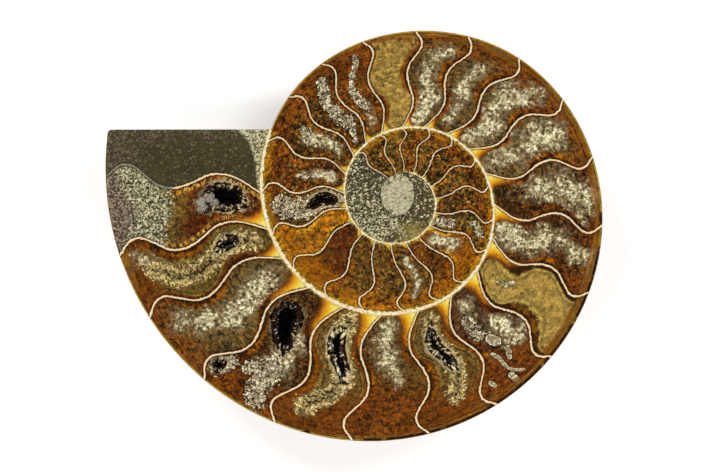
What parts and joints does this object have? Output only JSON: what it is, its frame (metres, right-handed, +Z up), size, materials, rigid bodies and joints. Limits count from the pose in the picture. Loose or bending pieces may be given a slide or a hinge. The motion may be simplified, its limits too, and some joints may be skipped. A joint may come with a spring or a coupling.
{
  "type": "ammonite fossil half",
  "caption": "Half of a sawn and polished ammonite, with its septa, crystal-filled chambers and open hollows on the flat cut face, and the shell's flank behind.",
  "frame": {"origin": "middle of the outline's box, on the surface that the flank rests on", "axes": "+Z up, out of the polished cut face; +X to the right along the longest extent, away from the sawn end's corner; +Y to the top of the coil, out of the sawn end"},
  "size_m": [0.106, 0.0876, 0.013],
  "materials": {
    "fossil_stone": "polished brown, amber and grey calcite with cream septa on the cut face; satin brown shell on the flank",
    "calcite_crystals": "glossy white, grey and cream calcite crystals"
  },
  "bodies": {
    "root": {"fossil_half": "fossil_stone", "crystal_crust_1": "calcite_crystals", "crystal_crust_2": "calcite_crystals", "crystal_crust_4": "calcite_crystals", "crystal_crust_4_outer": "calcite_crystals", "crystal_crust_5": "calcite_crystals", "crystal_crust_7": "calcite_crystals", "crystal_crust_21": "calcite_crystals"}
  },
  "joints": []
}
